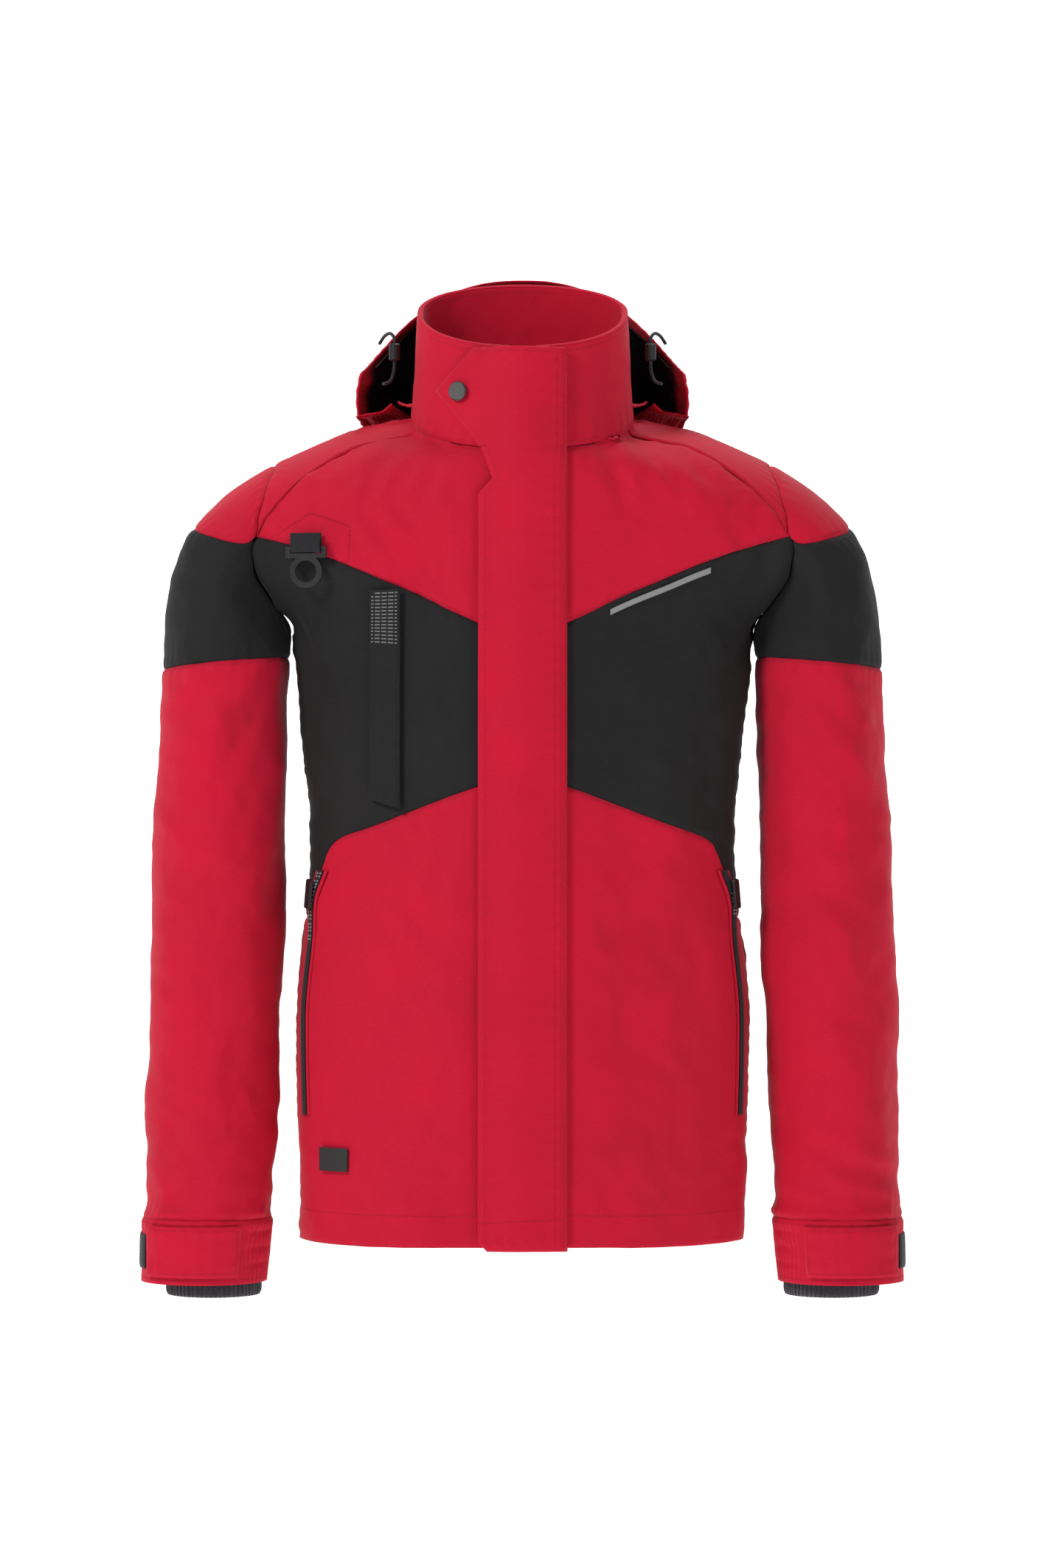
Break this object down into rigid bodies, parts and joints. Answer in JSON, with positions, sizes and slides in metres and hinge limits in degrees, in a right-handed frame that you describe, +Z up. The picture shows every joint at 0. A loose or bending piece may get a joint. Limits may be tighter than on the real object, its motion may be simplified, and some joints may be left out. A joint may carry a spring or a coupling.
{
  "type": "foul weather jacket",
  "caption": "Waterproof sailing jacket with stand collar, storm flap over a full zip, lowered hood, contrast chest, hand pockets and strap cuffs.",
  "frame": {"origin": "inside of the hanging loop at the back of the neck, where a hook bears", "axes": "+Z up along the body, -Y out of the front, +X to the wearer's left"},
  "size_m": [0.6724, 0.3293, 0.904],
  "materials": {
    "red_shell": "matte waterproof twill, red",
    "black_shell": "matte waterproof twill, black",
    "dark_red_facing": "brushed inner collar facing, dark red",
    "black_lining": "smooth lining, black",
    "knit": "soft rib knit, dark grey",
    "webbing": "woven webbing and elastic, black",
    "reflective": "grey reflective tape",
    "black_plastic": "moulded, satin black",
    "gunmetal": "dark grey coated metal",
    "rubber": "soft moulded patch, black"
  },
  "bodies": {
    "jacket": {"front_lower_right": "red_shell", "front_yoke_right": "red_shell", "shoulder_right": "red_shell", "front_chest_right": "black_shell", "lining_right": "black_lining", "pocket_bag_right": "black_lining", "pocket_zip_right": "black_plastic", "zip_tape_right": "webbing", "front_lower_left": "red_shell", "front_yoke_left": "red_shell", "shoulder_left": "red_shell", "front_chest_left": "black_shell", "lining_left": "black_lining", "pocket_bag_left": "black_lining", "pocket_zip_left": "black_plastic", "zip_tape_left": "webbing", "back_lower": "red_shell", "back_middle": "black_shell", "back_yoke": "red_shell", "lining_back": "black_lining", "collar_outer": "red_shell", "collar_facing": "dark_red_facing", "under_flap": "black_shell", "snap_stud": "gunmetal", "chest_pocket_zip": "black_plastic", "reflective_piping": "reflective", "label_patch": "rubber", "webbing_loop": "webbing", "hanging_loop": "webbing", "hood_neck_band": "red_shell"},
    "storm_flap": {"storm_flap": "red_shell", "snap_cap": "gunmetal", "snap_socket": "gunmetal"},
    "main_slider": {"main_slider": "gunmetal"},
    "main_puller": {"main_puller": "webbing"},
    "chest_flap": {"chest_flap": "black_shell"},
    "ring_plate": {"ring_plate": "black_plastic"},
    "hood": {"hood_shell": "red_shell", "hood_lining": "black_lining", "cord_lock_right": "black_plastic", "cord_lock_left": "black_plastic", "hood_cord_right": "webbing", "hood_cord_left": "webbing"},
    "pocket_slider_right": {"pocket_slider_right": "black_plastic"},
    "sleeve_right": {"sleeve_cap_right": "red_shell", "sleeve_band_right": "black_shell", "sleeve_lower_right": "red_shell", "cuff_right": "red_shell", "inner_cuff_right": "knit", "loop_patch_right": "webbing"},
    "cuff_tab_right": {"cuff_tab_right": "red_shell"},
    "pocket_slider_left": {"pocket_slider_left": "black_plastic"},
    "sleeve_left": {"sleeve_cap_left": "red_shell", "sleeve_band_left": "black_shell", "sleeve_lower_left": "red_shell", "cuff_left": "red_shell", "inner_cuff_left": "knit", "loop_patch_left": "webbing"},
    "cuff_tab_left": {"cuff_tab_left": "red_shell"}
  },
  "joints": [
    {"name": "storm_flap_open", "type": "hinge", "parent": "jacket", "child": "storm_flap", "pos_m": [0.0382, -0.1333, 0], "axis": [0, 0.062, 0.9981], "range_deg": [0, 150]},
    {"name": "main_zip_slide", "type": "slide", "parent": "jacket", "child": "main_slider", "axis": [0, 0.062, 0.9981], "range_m": [-0.7, 0]},
    {"name": "main_puller_swing", "type": "hinge", "parent": "main_slider", "child": "main_puller", "pos_m": [0, -0.1304, 0.0048], "axis": [0, -0.9981, 0.062], "range_deg": [-40, 40]},
    {"name": "chest_flap_open", "type": "hinge", "parent": "jacket", "child": "chest_flap", "pos_m": [-0.1366, -0.134, -0.36], "axis": [-0.0065, 0.0006, -1], "range_deg": [0, 150]},
    {"name": "ring_plate_swing", "type": "hinge", "parent": "jacket", "child": "ring_plate", "pos_m": [-0.18704, -0.12605, -0.14517], "axis": [-0.978, 0.2087, 0], "range_deg": [0, 90]},
    {"name": "hood_raise", "type": "hinge", "parent": "jacket", "child": "hood", "pos_m": [0, -0.0899, 0.015], "axis": [1, 0, 0], "range_deg": [0, 80]},
    {"name": "pocket_zip_run_right", "type": "hinge", "parent": "jacket", "child": "pocket_slider_right", "pos_m": [0.45496, -0.18179, -0.56866], "axis": [-0.1352, -0.9902, 0.0343], "range_deg": [0, 14]},
    {"name": "shoulder_right", "type": "hinge", "parent": "jacket", "child": "sleeve_right", "pos_m": [-0.221, 0, -0.065], "axis": [0, 1, 0], "range_deg": [0, 60]},
    {"name": "cuff_tab_open_right", "type": "hinge", "parent": "sleeve_right", "child": "cuff_tab_right", "pos_m": [-0.2441, -0.1072, -0.733], "axis": [0.073, -0.027, 0.997], "range_deg": [0, 110]},
    {"name": "pocket_zip_run_left", "type": "hinge", "parent": "jacket", "child": "pocket_slider_left", "pos_m": [-0.45496, -0.18179, -0.56866], "axis": [-0.1352, 0.9902, -0.0343], "range_deg": [0, 14]},
    {"name": "shoulder_left", "type": "hinge", "parent": "jacket", "child": "sleeve_left", "pos_m": [0.221, 0, -0.065], "axis": [0, -1, 0], "range_deg": [0, 60]},
    {"name": "cuff_tab_open_left", "type": "hinge", "parent": "sleeve_left", "child": "cuff_tab_left", "pos_m": [0.2441, -0.1072, -0.733], "axis": [0.073, 0.027, -0.997], "range_deg": [0, 110]}
  ]
}
